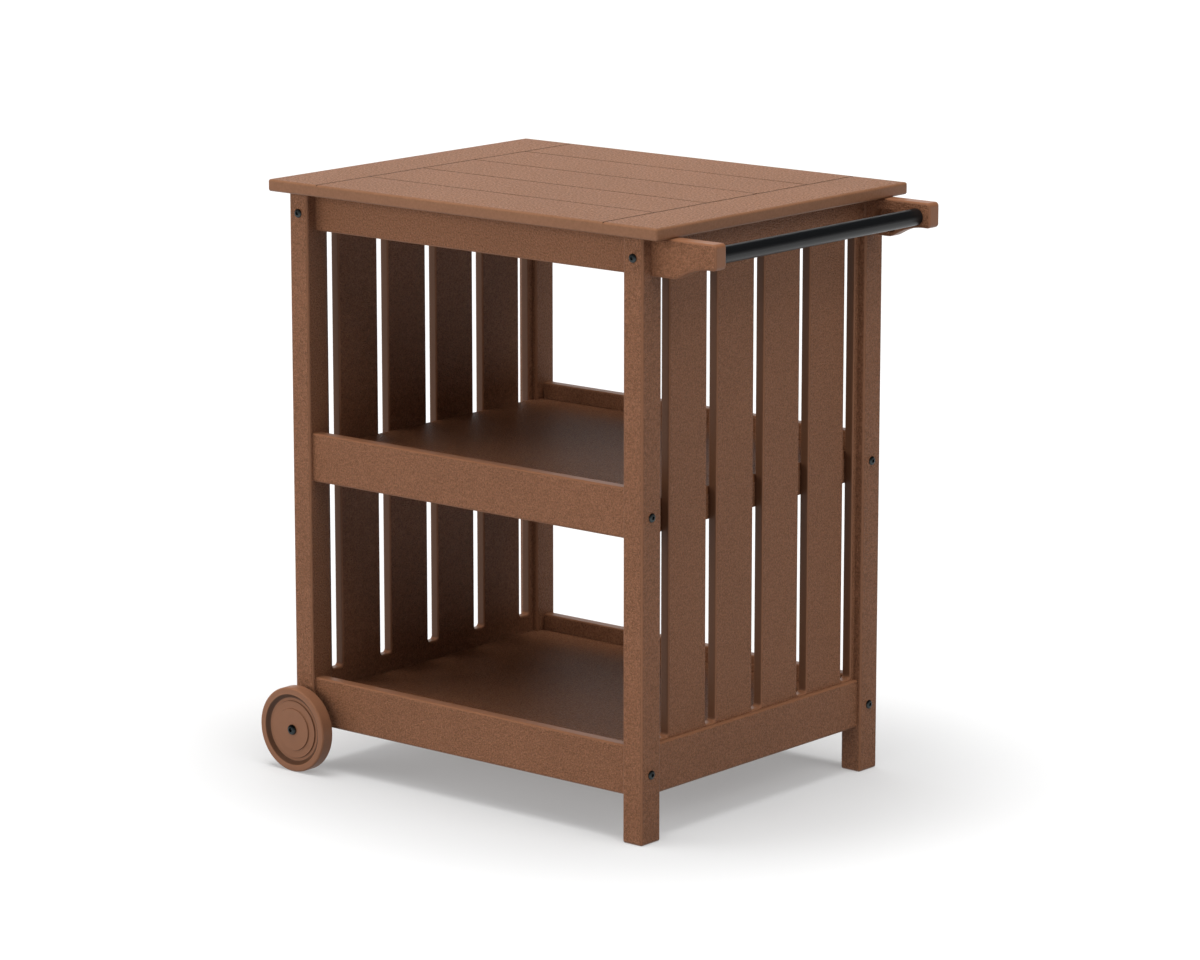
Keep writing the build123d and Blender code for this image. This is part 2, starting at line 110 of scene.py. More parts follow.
def place_camera():
    camera = add_object("camera", bpy.data.cameras.new("camera"))
    camera.data.lens = LENS_MM
    camera.data.sensor_width = SENSOR_MM
    camera.data.clip_end = VIEW_DEPTH
    camera.location = CAMERA_PLACE
    camera.rotation_euler = Euler((CAMERA_TILT, 0.0, CAMERA_TURN))
    bpy.context.scene.camera = camera


def hang_softbox(name, bearing, height, spread, strength, mirrored):
    bearing, height = math.radians(bearing), math.radians(height)
    level = math.cos(height)
    towards = Vector((level * math.sin(bearing), -level * math.cos(bearing), math.sin(height)))
    light = bpy.data.lights.new(name, "SUN")
    light.angle = math.radians(spread)
    light.energy = strength
    lamp = add_object(name, light)
    lamp.rotation_euler = towards.to_track_quat("Z", "Y").to_euler()
    lamp.visible_glossy = mirrored


def light_room():
    """Dim room light on the cart; the camera itself sees white paper all round."""
    world = bpy.data.worlds.new("room")
    world.use_nodes = True
    tree = world.node_tree
    tree.nodes.clear()
    room = put(tree, "ShaderNodeBackground", {"Color": ROOM_LIGHT, "Strength": ROOM_STRENGTH}).outputs[0]
    paper = put(tree, "ShaderNodeBackground", {"Color": PAPER_WHITE, "Strength": 1.0}).outputs[0]
    seen = put(tree, "ShaderNodeLightPath").outputs["Is Camera Ray"]
    mix = put(tree, "ShaderNodeMixShader", {0: seen, 1: room, 2: paper}).outputs[0]
    put(tree, "ShaderNodeOutputWorld", {"Surface": mix})
    bpy.context.scene.world = world
    bpy.context.scene.view_settings.view_transform = "Standard"


def floor_paper():
    """White paper lit from below: what it shows, what it throws on the cart, and what sheen picks up."""
    material = bpy.data.materials.new("floor_paper")
    material.use_nodes = True
    material.cycles.emission_sampling = "NONE"
    tree = material.node_tree
    tree.nodes.clear()
    place = put(tree, "ShaderNodeTexCoord").outputs["Object"]
    distance = put(tree, "ShaderNodeVectorMath", {0: place}, operation="LENGTH").outputs["Value"]

    def glow(strengths):
        """Light of the paper itself, weaker round the cart's feet as a painted shadow."""
        strength = remap(tree, distance, FLOOR_REACH, strengths, interpolation_type="SMOOTHSTEP")
        return put(tree, "ShaderNodeEmission", {"Strength": strength}).outputs[0]

    lit = put(tree, "ShaderNodeBsdfDiffuse", {"Color": FLOOR_PAPER}).outputs[0]
    shown = put(tree, "ShaderNodeAddShader", {0: lit, 1: glow(FLOOR_GLOW)}).outputs[0]
    ray = put(tree, "ShaderNodeLightPath").outputs
    thrown = {0: ray["Is Glossy Ray"], 1: glow(FLOOR_BOUNCE), 2: glow(FLOOR_SHEEN)}
    thrown = put(tree, "ShaderNodeMixShader", thrown).outputs[0]
    mix = put(tree, "ShaderNodeMixShader", {0: ray["Is Camera Ray"], 1: thrown, 2: shown}).outputs[0]
    put(tree, "ShaderNodeOutputMaterial", {"Surface": mix})
    return material


def lay_floor():
    mesh = bpy.data.meshes.new("floor")
    shape = bmesh.new()
    bmesh.ops.create_circle(shape, cap_ends=True, segments=FLOOR_SIDES, radius=FLOOR_RADIUS)
    shape.to_mesh(mesh)
    shape.free()
    mesh.materials.append(floor_paper())
    add_object("floor", mesh)


place_camera()
for softbox, setting in SOFTBOXES.items():
    hang_softbox(softbox, *setting)
light_room()
lay_floor()


# Corner posts
# Four thick posts of solid brown plastic lumber. Their faces are moulded with a fine pebbled skin, and
# the eased corners and sawn ends are smooth. The left pair ends above the floor, where wheels carry it.
SIDES = ("front", "back")
ENDS = ("left", "right")
# The axes that a piece's pebbled faces look along
SKIN_ON_POSTS = (1, 1, 0)
LUMBER_BROWN = (0.232, 0.1015, 0.0515, 1.0)
LUMBER_FLECKS = (0.69, 1.31)
FLECK_TINT = (1.0, 1.1, 1.3)
FLECK_SCALE = 0.80
FLECK_RANGE = (0.32, 0.68)
FLECKS_ON_CUTS = 0.15
FLECK_NOISE = {"detail": 2.0, "roughness": 0.6}
LUMBER_SHEEN_LEVEL = 0.32
SKIN_ROUGHNESS = 0.58
CUT_ROUGHNESS = 0.46
PEBBLE_SIZE = 0.0021
PEBBLE_DEPTH = 0.0014
PEBBLE_RANGE = (0.28, 0.72)
PEBBLE_ROUGHENING = 0.16
CLOUD_SIZE = 0.14
CLOUD_TONES = (0.965, 1.035)
NOISE_RANGE = (0.3, 0.7)
FLAT_RANGE = (0.955, 0.995)
PATTERN_STEPS = (0.37, 0.61, 0.83)
PIECE_TONES = (1.0, 0.985, 1.012, 0.993, 1.006)


def group_tree(name, takes, gives, kind="ShaderNodeTree"):
    """Node group with named inputs and outputs: gives its tree, what comes in, and the output node."""
    tree = bpy.data.node_groups.new(name, kind)
    for socket, socket_kind, value in takes:
        made = tree.interface.new_socket(socket, in_out="INPUT", socket_type=socket_kind)
        if value is not None:
            made.default_value = value
    for socket, socket_kind in gives:
        tree.interface.new_socket(socket, in_out="OUTPUT", socket_type=socket_kind)
    return tree, tree.nodes.new("NodeGroupInput").outputs, tree.nodes.new("NodeGroupOutput")


def arithmetic(tree):
    """Short way to write sums in a node tree: work("ADD", a, b) gives the result's socket."""

    def work(operation, *values):
        return put(tree, "ShaderNodeMath", dict(enumerate(values)), operation=operation).outputs[0]

    return work


def vector_work(tree, operation, *values):
    """One step of arithmetic on vectors or colours."""
    return put(tree, "ShaderNodeVectorMath", dict(enumerate(values)), operation=operation).outputs[0]


def scaled(tree, colour, tone):
    """The colour made lighter or darker by a tone."""
    return put(tree, "ShaderNodeVectorMath", {0: colour, "Scale": tone}, operation="SCALE").outputs[0]


def noise(tree, vector, scale, detail, roughness=0.5):
    """Cloudy pattern whose values lie mostly between 0.3 and 0.7."""
    sizes = {"Vector": vector, "Scale": scale, "Detail": detail, "Roughness": roughness}
    return put(tree, "ShaderNodeTexNoise", sizes).outputs["Fac"]


def bump(tree, height, depth):
    return put(tree, "ShaderNodeBump", {"Height": height, "Distance": depth}).outputs[0]


def new_material(name):
    """New material, with its node tree and its shader."""
    material = bpy.data.materials.new(name)
    material.use_nodes = True
    return material, material.node_tree, material.node_tree.nodes["Principled BSDF"]


def build_flat_mask():
    """Group that tells a sheet's moulded faces, 1, from its cut and rounded edges, 0."""
    takes = (("Normal", "NodeSocketVector", None), ("Skin Axes", "NodeSocketVector", (1.0, 1.0, 1.0)))
    tree, given, out = group_tree("moulded_face_mask", takes, (("Mask", "NodeSocketFloat"),))
    work = arithmetic(tree)
    kept = vector_work(tree, "MULTIPLY", vector_work(tree, "ABSOLUTE", given["Normal"]), given["Skin Axes"])
    x, y, z = put(tree, "ShaderNodeSeparateXYZ", {0: kept}).outputs
    most = work("MAXIMUM", work("MAXIMUM", x, y), z)
    wire(tree, out, {"Mask": remap(tree, most, FLAT_RANGE)})
    return tree


def build_pebbled_skin():
    """Group for moulded plastic lumber: pebbles where the mask is 1, small flecks and faint clouds."""
    takes = (
        ("Vector", "NodeSocketVector", None),
        ("Mask", "NodeSocketFloat", 1.0),
        ("Colour", "NodeSocketColor", LUMBER_BROWN),
        ("Pebble Size", "NodeSocketFloat", PEBBLE_SIZE),
        ("Fleck Dark", "NodeSocketFloat", LUMBER_FLECKS[0]),
        ("Fleck Light", "NodeSocketFloat", LUMBER_FLECKS[1]),
        ("Fleck Tint", "NodeSocketVector", FLECK_TINT),
        ("Skin Roughness", "NodeSocketFloat", SKIN_ROUGHNESS),
        ("Cut Roughness", "NodeSocketFloat", CUT_ROUGHNESS),
    )
    gives = (("Colour", "NodeSocketColor"), ("Roughness", "NodeSocketFloat"), ("Height", "NodeSocketFloat"))
    tree, given, out = group_tree("pebbled_skin", takes, gives)
    work = arithmetic(tree)
    vector, mask = given["Vector"], given["Mask"]
    fine = work("DIVIDE", 1.0, given["Pebble Size"])
    pebbles = noise(tree, vector, fine, detail=1.5)
    flecks = noise(tree, vector, work("MULTIPLY", fine, FLECK_SCALE), **FLECK_NOISE)
    clouds = noise(tree, vector, 1.0 / CLOUD_SIZE, detail=2.0)
    ends = given["Fleck Dark"], given["Fleck Light"]
    strength = work("SUBTRACT", remap(tree, flecks, FLECK_RANGE, ends), 1.0)
    shown = work("MULTIPLY_ADD", mask, 1.0 - FLECKS_ON_CUTS, FLECKS_ON_CUTS)
    change = scaled(tree, given["Fleck Tint"], work("MULTIPLY", strength, shown))
    flecked = vector_work(tree, "ADD", change, (1.0, 1.0, 1.0))
    flecked = vector_work(tree, "MULTIPLY", flecked, given["Colour"])
    toned = scaled(tree, flecked, remap(tree, clouds, NOISE_RANGE, CLOUD_TONES))
    least = work("SUBTRACT", given["Skin Roughness"], PEBBLE_ROUGHENING / 2)
    on_skin = work("MULTIPLY_ADD", pebbles, PEBBLE_ROUGHENING, least)
    step = work("SUBTRACT", on_skin, given["Cut Roughness"])
    rough = work("MULTIPLY_ADD", step, mask, given["Cut Roughness"])
    height = work("MULTIPLY", remap(tree, pebbles, PEBBLE_RANGE), mask)
    wire(tree, out, {"Colour": toned, "Roughness": rough, "Height": height})
    return tree


flat_mask = build_flat_mask()
pebbled_skin = build_pebbled_skin()
lumber_numbers = itertools.count()


def lumber(name, skin_axes, colour=None):
    """Brown plastic lumber for one piece, with a tone and a place in the pattern of its own."""
    material, tree, shader = new_material(name)
    number = next(lumber_numbers)
    place = put(tree, "ShaderNodeTexCoord").outputs
    shift = [step * number % 1.0 for step in PATTERN_STEPS]
    pattern = put(tree, "ShaderNodeMapping", {"Vector": place["Object"], "Location": shift}).outputs[0]
    faces = {"Normal": place["Normal"], "Skin Axes": skin_axes}
    mask = put(tree, "ShaderNodeGroup", faces, node_tree=flat_mask).outputs["Mask"]
    if colour is None:
        tone = PIECE_TONES[number % len(PIECE_TONES)]
        brown = [tone * part for part in LUMBER_BROWN[:3]] + [1.0]
    else:
        brown = colour(tree, place)
    skin = {"Vector": pattern, "Mask": mask, "Colour": brown}
    skin = put(tree, "ShaderNodeGroup", skin, node_tree=pebbled_skin).outputs
    finish = {
        "Base Color": skin["Colour"],
        "Roughness": skin["Roughness"],
        "Normal": bump(tree, skin["Height"], PEBBLE_DEPTH),
        "Specular IOR Level": LUMBER_SHEEN_LEVEL,
    }
    wire(tree, shader, finish)
    return material


def finish_piece(name, material):
    """Gives a piece its finish."""
    mesh = nodes[name].data
    mesh.materials.clear()
    mesh.materials.append(material)


def finish_lumber(names, skin_axes, colour=None):
    for name in names:
        finish_piece(name, lumber(f"{name}_lumber", skin_axes, colour))


finish_lumber([f"{side}_{end}_post" for side in SIDES for end in ENDS], SKIN_ON_POSTS)


# Long aprons and shelf rails
# Boards cut from pebbled sheet, which join the posts along the front and the back. The aprons sit back
# under the top; the two pairs of rails stand above the shelves as a lip. Their long edges are eased.
SKIN_FACING_Y = (0, 1, 0)
LONG_BOARDS = ("apron", "mid_rail", "bottom_rail")
finish_lumber([f"{side}_{board}" for side in SIDES for board in LONG_BOARDS], SKIN_FACING_Y)


# End aprons and end rails
# Short boards of the same sheet across both ends, rebated on the inside for the slotted panels.
# The aprons are screwed through the posts, and the rails have stub tenons.
SKIN_FACING_X = (1, 0, 0)
finish_lumber([f"{end}_end_{board}" for end in ENDS for board in ("apron", "rail")], SKIN_FACING_X)


# Slotted end panels
# One tall sheet at each end, seated in the rebates of the end apron and the end rail. Five slots are
# routed through it, which leaves four broad slats; the slots' lips are eased and smooth.
# Painted shade on the slots' walls, where the slats shade each other
SLOT_WALL_PAINTED_SHADE = 0.55
SLOT_WALL_RANGE = (0.75, 0.98)


def slot_painted_shade(tree, place):
    """The lumber's brown, with painted shade on the walls of the slots."""
    facing = put(tree, "ShaderNodeSeparateXYZ", {0: place["Normal"]}).outputs["Y"]
    tone = remap(tree, arithmetic(tree)("ABSOLUTE", facing), SLOT_WALL_RANGE, (1.0, SLOT_WALL_PAINTED_SHADE))
    return scaled(tree, LUMBER_BROWN[:3], tone)


finish_lumber([f"{end}_slotted_panel" for end in ENDS], SKIN_FACING_X, slot_painted_shade)


# Shelves and their cleats
# Two thin sheets notched round the posts, resting on cleats that are screwed to the rails, to the end
# rails and to the slotted panels.
SHELVES = ("mid", "bottom")
SHELF_SKIN = {"Skin Roughness": 0.43, "Specular IOR Level": 0.025}
SKIN_FACING_Z = (0, 0, 1)


def retune(material, values):
    """Sets named inputs of a material's shader and of its node groups."""
    for part in material.node_tree.nodes:
        for name, value in values.items():
            if name in part.inputs:
                part.inputs[name].default_value = value
    return material


for shelf in SHELVES:
    finish_piece(f"{shelf}_shelf", retune(lumber(f"{shelf}_shelf_lumber", SKIN_FACING_Z), SHELF_SKIN))
finish_lumber([f"{shelf}_shelf_{side}_cleat" for shelf in SHELVES for side in SIDES], SKIN_FACING_Y)
finish_lumber([f"{shelf}_shelf_{end}_cleat" for shelf in SHELVES for end in ENDS], SKIN_FACING_X)


# Grooved top
# One sheet, rounded all round its edge. Two grooves across it and four along it are routed with a V cutter,
# so that it looks planked. The grooves' sloping walls carry painted shade, darker than the skin.
# The lumber's brown made a little greyer, as painted sheen on the top
TOP_BROWN_PAINTED_SHEEN = (0.227, 0.1055, 0.0550)
TOP_SKIN = {"Pebble Size": 0.0028, "Fleck Dark": 0.52, "Fleck Light": 1.48, "Fleck Tint": (1.0, 1.25, 1.65)}
# Painted shade on the walls of the grooves across and along the top
CROSS_GROOVE_PAINTED_SHADE = 0.08
LONG_GROOVE_PAINTED_SHADE = 0.30
GROOVE_BORDER = 0.020
GROOVE_LEAN = 0.3
GROOVE_UPWARD = 0.2


def groove_painted_shade(tree, place):
    """The top's brown, with painted shade on the sloping walls of the grooves, which their normals tell."""
    low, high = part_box("tabletop")
    work = arithmetic(tree)
    x, y, _ = put(tree, "ShaderNodeSeparateXYZ", {0: place["Object"]}).outputs
    lean_x, lean_y, upward = put(tree, "ShaderNodeSeparateXYZ", {0: place["Normal"]}).outputs
    middle, half_length = (low[0] + high[0]) / 2, (high[0] - low[0]) / 2

    def wall(lean, along, limit):
        leaning = work("GREATER_THAN", work("ABSOLUTE", lean), GROOVE_LEAN)
        within = work("LESS_THAN", work("ABSOLUTE", along), limit - GROOVE_BORDER)
        facing_up = work("GREATER_THAN", upward, GROOVE_UPWARD)
        return work("MULTIPLY", work("MULTIPLY", leaning, within), facing_up)

    across = wall(lean_x, work("SUBTRACT", x, middle), half_length)
    lengthwise = wall(lean_y, y, high[1])
    # Painted shade in the grooves
    tone = work("MULTIPLY_ADD", across, CROSS_GROOVE_PAINTED_SHADE - 1.0, 1.0)
    tone = work("MULTIPLY", tone, work("MULTIPLY_ADD", lengthwise, LONG_GROOVE_PAINTED_SHADE - 1.0, 1.0))
    return scaled(tree, TOP_BROWN_PAINTED_SHEEN, tone)


finish_piece("tabletop", retune(lumber("tabletop_lumber", SKIN_FACING_Z, groove_painted_shade), TOP_SKIN))


# Steel angles
# Four small angles bent from stainless strip, screwed to the long aprons and up into the top.
# The strip is brushed along its length and slightly clouded.
STEEL_BRIGHT = (0.56, 0.56, 0.55, 1.0)
STEEL_DULL = (0.46, 0.455, 0.45, 1.0)
STEEL_ROUGHNESS = 0.34
STEEL_CLOUD_SCALE = 120.0
STEEL_CLOUD_RANGE = (0.35, 0.65)
BRUSH_SIZE = 0.0005
BRUSH_STRETCH = (60.0, 1.0, 1.0)
BRUSH_DEPTH = 0.00002
BRUSH_ROUGHENING = 0.24


def build_brushed_steel():
    """Group for brushed steel: fine scratches drawn out along one way, over soft clouds."""
    takes = (
        ("Vector", "NodeSocketVector", None),
        ("Stretch", "NodeSocketVector", BRUSH_STRETCH),
        ("Bright", "NodeSocketColor", STEEL_BRIGHT),
        ("Dull", "NodeSocketColor", STEEL_DULL),
        ("Roughness", "NodeSocketFloat", STEEL_ROUGHNESS),
    )
    gives = (("Colour", "NodeSocketColor"), ("Roughness", "NodeSocketFloat"), ("Height", "NodeSocketFloat"))
    tree, given, out = group_tree("brushed_steel", takes, gives)
    work = arithmetic(tree)
    drawn = vector_work(tree, "DIVIDE", given["Vector"], given["Stretch"])
    scratches = noise(tree, drawn, 1.0 / BRUSH_SIZE, detail=2.0)
    clouds = noise(tree, given["Vector"], STEEL_CLOUD_SCALE, detail=3.0)
    mix = {"Factor": remap(tree, clouds, STEEL_CLOUD_RANGE), 6: given["Bright"], 7: given["Dull"]}
    mix = put(tree, "ShaderNodeMix", mix, data_type="RGBA").outputs[2]
    least = work("SUBTRACT", given["Roughness"], BRUSH_ROUGHENING / 2)
    rough = work("MULTIPLY_ADD", scratches, BRUSH_ROUGHENING, least)
    wire(tree, out, {"Colour": mix, "Roughness": rough, "Height": scratches})
    return tree


brushed_steel = build_brushed_steel()


def steel(name, stretch=BRUSH_STRETCH, roughness=STEEL_ROUGHNESS):
    material, tree, shader = new_material(name)
    place = put(tree, "ShaderNodeTexCoord").outputs["Object"]
    brushed = {"Vector": place, "Stretch": stretch, "Roughness": roughness}
    brushed = put(tree, "ShaderNodeGroup", brushed, node_tree=brushed_steel).outputs
    finish = {
        "Base Color": brushed["Colour"],
        "Roughness": brushed["Roughness"],
        "Normal": bump(tree, brushed["Height"], BRUSH_DEPTH),
        "Metallic": 1.0,
    }
    wire(tree, shader, finish)
    return material


finish_piece("top_angles", steel("angle_steel"))


# Handle brackets
# Two arms cut from thick pebbled sheet, butted to the right posts under the top. Their lower edge sweeps
# up to a blunt nose that holds the bar, and every cut edge is rounded over and smooth.
finish_lumber([f"{side}_handle_bracket" for side in SIDES], SKIN_FACING_Y)


# Handle bar
# A round steel tube with a satin black powder coat. Its ends are let into blind pockets in the brackets,
# which hold it without a screw.
BAR_BLACK = (0.0060, 0.0064, 0.0070, 1.0)
BAR_SHEEN_LEVEL = 0.28
BAR_ROUGHNESS = (0.34, 0.40)
BAR_GRAIN = 0.0011
COAT_DEPTH = 0.00002


def build_coat_peel():
    """Group for a black coat: the faint orange peel of its skin, smoother on the rises."""
    takes = (
        ("Vector", "NodeSocketVector", None),
        ("Grain Size", "NodeSocketFloat", BAR_GRAIN),
        ("Smooth", "NodeSocketFloat", BAR_ROUGHNESS[0]),
        ("Coarse", "NodeSocketFloat", BAR_ROUGHNESS[1]),
    )
    gives = (("Roughness", "NodeSocketFloat"), ("Height", "NodeSocketFloat"))
    tree, given, out = group_tree("coat_peel", takes, gives)
    grain = noise(tree, given["Vector"], arithmetic(tree)("DIVIDE", 1.0, given["Grain Size"]), detail=2.0)
    rough = remap(tree, grain, NOISE_RANGE, (given["Coarse"], given["Smooth"]))
    wire(tree, out, {"Roughness": rough, "Height": grain})
    return tree


coat_peel = build_coat_peel()


def black_coat(name, colour, grain, roughness, with_painted_light=False):
    """Black coating; with painted light, its colour is lightened or darkened by the painted tone stored on
    the mesh.
    """
    material, tree, shader = new_material(name)
    place = put(tree, "ShaderNodeTexCoord").outputs["Object"]
    peel = {"Vector": place, "Grain Size": grain, "Smooth": roughness[0], "Coarse": roughness[1]}
    peel = put(tree, "ShaderNodeGroup", peel, node_tree=coat_peel).outputs
    if with_painted_light:
        tone = put(tree, "ShaderNodeAttribute", attribute_name="tone").outputs["Fac"]
        colour = scaled(tree, colour[:3], tone)
    normal = bump(tree, peel["Height"], COAT_DEPTH)
    wire(tree, shader, {"Base Color": colour, "Roughness": peel["Roughness"], "Normal": normal})
    return material


bar_coat = black_coat("bar_powder_coat", BAR_BLACK, BAR_GRAIN, BAR_ROUGHNESS)
finish_piece("handle_bar", retune(bar_coat, {"Specular IOR Level": BAR_SHEEN_LEVEL}))


# Wheels
# Two solid wheels turned from the same brown plastic, with a broad flat rim, a sloping wall and a disc with
# two shallow steps. The lathe leaves faint rings, and the tread is a little scuffed.
# The lumber's brown made a little greyer, as painted sheen on the wheel
WHEEL_BROWN_PAINTED_SHEEN = (0.232, 0.1035, 0.0545)
WHEEL_ROUGHNESS = (0.40, 0.50)
WHEEL_CLOUD_SCALE = 60.0
WHEEL_CLOUD_TONES = (0.97, 1.03)
RING_SIZE = 0.00018
RING_DEPTH = 0.000035
RING_TONES = (0.985, 1.015)
TREAD_BAND = 0.0035
SCUFF_SCALE = 420.0
SCUFF_NOISE = {"detail": 3.0, "roughness": 0.65}
SCUFF_RANGE = (0.42, 0.62)
SCUFF_TONE = 1.10
SCUFF_ROUGHENING = 0.18
# Painted shade on the dish's wall, foot and steps, and a painted highlight on the rim's lip
# Radius, half width and tone of each painted band of the dish; past its core a band fades out
DISH_PAINTED_SHADE_AND_HIGHLIGHT = {
    "wall": (0.0532, 0.0030, 0.32),
    "foot": (0.0503, 0.0010, 0.45),
    "outer_step": (0.0449, 0.0007, 0.76),
    "inner_step": (0.0328, 0.0007, 0.84),
    "lip": (0.0568, 0.0009, 1.10),
}
DISH_CORE = 0.55


def turned_plastic(wheel):
    """Brown plastic off the lathe, round the wheel's own hub, with painted shade on the wall, foot and
    steps of its dish and a painted highlight on the rim's lip.
    """
    material, tree, shader = new_material(f"{wheel}_plastic")
    work = arithmetic(tree)
    low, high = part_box(wheel)
    hub = [-(low[axis] + high[axis]) / 2 for axis in range(3)]
    reach = (high[2] - low[2]) / 2
    place = put(tree, "ShaderNodeTexCoord").outputs["Object"]
    centred = put(tree, "ShaderNodeMapping", {"Vector": place, "Location": hub}).outputs[0]
    x, _, z = put(tree, "ShaderNodeSeparateXYZ", {0: centred}).outputs
    radius = work("SQRT", work("ADD", work("MULTIPLY", x, x), work("MULTIPLY", z, z)))
    rings = {"W": work("DIVIDE", radius, RING_SIZE), "Scale": 1.0, "Detail": 1.0}
    rings = put(tree, "ShaderNodeTexNoise", rings, noise_dimensions="1D").outputs["Fac"]
    clouds = noise(tree, centred, WHEEL_CLOUD_SCALE, detail=3.0)
    scuffs = noise(tree, centred, SCUFF_SCALE, **SCUFF_NOISE)
    tread = remap(tree, radius, (reach - TREAD_BAND, reach - TREAD_BAND / 3))
    scuffed = work("MULTIPLY", tread, remap(tree, scuffs, SCUFF_RANGE))
    cloud_tone = remap(tree, clouds, NOISE_RANGE, WHEEL_CLOUD_TONES)
    tone = work("MULTIPLY", cloud_tone, remap(tree, rings, NOISE_RANGE, RING_TONES))
    tone = work("MULTIPLY", tone, work("MULTIPLY_ADD", scuffed, SCUFF_TONE - 1.0, 1.0))
    # Painted shade and painted highlight in rings round the hub
    for middle, half_width, shade in DISH_PAINTED_SHADE_AND_HIGHLIGHT.values():
        off = work("ABSOLUTE", work("SUBTRACT", radius, middle))
        band = remap(tree, off, (DISH_CORE * half_width, half_width), (shade, 1.0))
        tone = work("MULTIPLY", tone, band)
    ring_roughness = remap(tree, rings, NOISE_RANGE, WHEEL_ROUGHNESS)
    finish = {
        "Base Color": scaled(tree, WHEEL_BROWN_PAINTED_SHEEN, tone),
        "Roughness": work("MULTIPLY_ADD", scuffed, SCUFF_ROUGHENING, ring_roughness),
        "Normal": bump(tree, rings, RING_DEPTH),
        "Specular IOR Level": LUMBER_SHEEN_LEVEL,
    }
    wire(tree, shader, finish)
    return material


for side in SIDES:
    finish_piece(f"{side}_wheel", turned_plastic(f"{side}_wheel"))


# Wheel bushes and spacers
# The bush is a sleeve of natural nylon, pressed into the wheel, which turns on the bolt. The spacer is a
# short steel sleeve that keeps the wheel off the post.
NYLON_CREAM = (0.72, 0.70, 0.64)
NYLON_TONES = (0.94, 1.04)
NYLON_ROUGHNESS = (0.36, 0.46)
NYLON_CLOUD_SCALE = 260.0
NYLON_CLOUD_DEPTH = 0.00004
NYLON_GLOW = {"Subsurface Weight": 0.25, "Subsurface Radius": (1.0, 0.9, 0.7), "Subsurface Scale": 0.002}
SPACER_STRETCH = (1.0, 40.0, 1.0)
SPACER_ROUGHNESS = 0.32


def nylon(name):
    material, tree, shader = new_material(name)
    clouds = noise(tree, put(tree, "ShaderNodeTexCoord").outputs["Object"], NYLON_CLOUD_SCALE, detail=3.0)
    finish = {
        "Base Color": scaled(tree, NYLON_CREAM, remap(tree, clouds, NOISE_RANGE, NYLON_TONES)),
        "Roughness": remap(tree, clouds, NOISE_RANGE, NYLON_ROUGHNESS),
        "Normal": bump(tree, clouds, NYLON_CLOUD_DEPTH),
        **NYLON_GLOW,
    }
    wire(tree, shader, finish)
    return material


for side in SIDES:
    finish_piece(f"{side}_wheel_bush", nylon(f"{side}_bush_nylon"))
    finish_piece(f"{side}_wheel_spacer", steel(f"{side}_spacer_steel", SPACER_STRETCH, SPACER_ROUGHNESS))


# Axle inserts
# Sleeves of plated steel, threaded inside and driven into the left posts. The axle bolts screw into them,
# so the plastic itself carries no thread.
INSERT_STRETCH = (1.0, 60.0, 1.0)
INSERT_ROUGHNESS = 0.38
for side in SIDES:
    finish_piece(f"{side}_axle_insert", steel(f"{side}_insert_steel", INSERT_STRETCH, INSERT_ROUGHNESS))


# Axle bolts and frame screws
# Blackened steel with domed button heads and a hexagon socket. The bolts carry the wheels; the screws pass
# through the posts into the aprons and rails. One shape, turned from a profile, serves them all.
HARDWARE_BLACK = (0.022, 0.026, 0.027, 1.0)
HARDWARE_ROUGHNESS = (0.42, 0.52)
HARDWARE_GRAIN = 0.0006
HEAD_SEGMENTS = 36
SOCKET_ROWS = 2
DOME_ROWS = 7
SHANK_ROW = 0.00042
FEWEST_SHANK_ROWS = 24
# Tones painted on the heads: painted shade in the socket and on the steep rim, a painted highlight on the
# flat top
SOCKET_PAINTED_SHADE = 0.03
LIP_PAINTED_HIGHLIGHT = 4.2
RIM_PAINTED_SHADE = 0.40
PAINTED_HIGHLIGHT_FADE = (0.25, 0.8)
HEAD_SIZES = ("Head Radius", "Head Height", "Rim Height", "Socket Sides", "Socket Radius", "Socket Depth")
SHANK_SIZES = ("Shank Radius", "Plain Length", "Length", "Tip Length")
THREAD_SIZES = ("Thread Root", "Thread Crest", "Thread Pitch")
THREAD_CURVE = 2.0
SHARP_ANGLE = math.radians(38.0)
WELD = 1e-6
RIM_SHARE = 0.9
LENGTH_DIGITS = 5


def fastener_grid(tree, columns, rows):
    """Flat grid to be wrapped round the axis: gives its mesh, the turn of each point and its row."""
    work = arithmetic(tree)
    grid = {"Size X": 1.0, "Size Y": 1.0, "Vertices X": columns + 1, "Vertices Y": rows + 1}
    mesh = put(tree, "GeometryNodeMeshGrid", grid).outputs["Mesh"]
    place = put(tree, "GeometryNodeInputPosition").outputs[0]
    across, along, _ = put(tree, "ShaderNodeSeparateXYZ", {0: place}).outputs
    turn = work("MULTIPLY", work("SUBTRACT", 0.5, across), math.tau)
    return mesh, turn, work("MULTIPLY", work("ADD", along, 0.5), float(rows))


def wrap(tree, mesh, turn, radius, height, tone):
    """Moves the grid's points to a radius and a height at their turn, and stores the painted shade and
    highlight of their coat as their tone.
    """
    work = arithmetic(tree)
    x, y = work("MULTIPLY", radius, work("COSINE", turn)), work("MULTIPLY", radius, work("SINE", turn))
    place = put(tree, "ShaderNodeCombineXYZ", {"X": x, "Y": y, "Z": height}).outputs[0]
    placed = put(tree, "GeometryNodeSetPosition", {"Geometry": mesh, "Position": place}).outputs[0]
    kept = {"Geometry": placed, "Name": "tone", "Value": tone}
    return put(tree, "GeometryNodeStoreNamedAttribute", kept, data_type="FLOAT", domain="POINT").outputs[0]


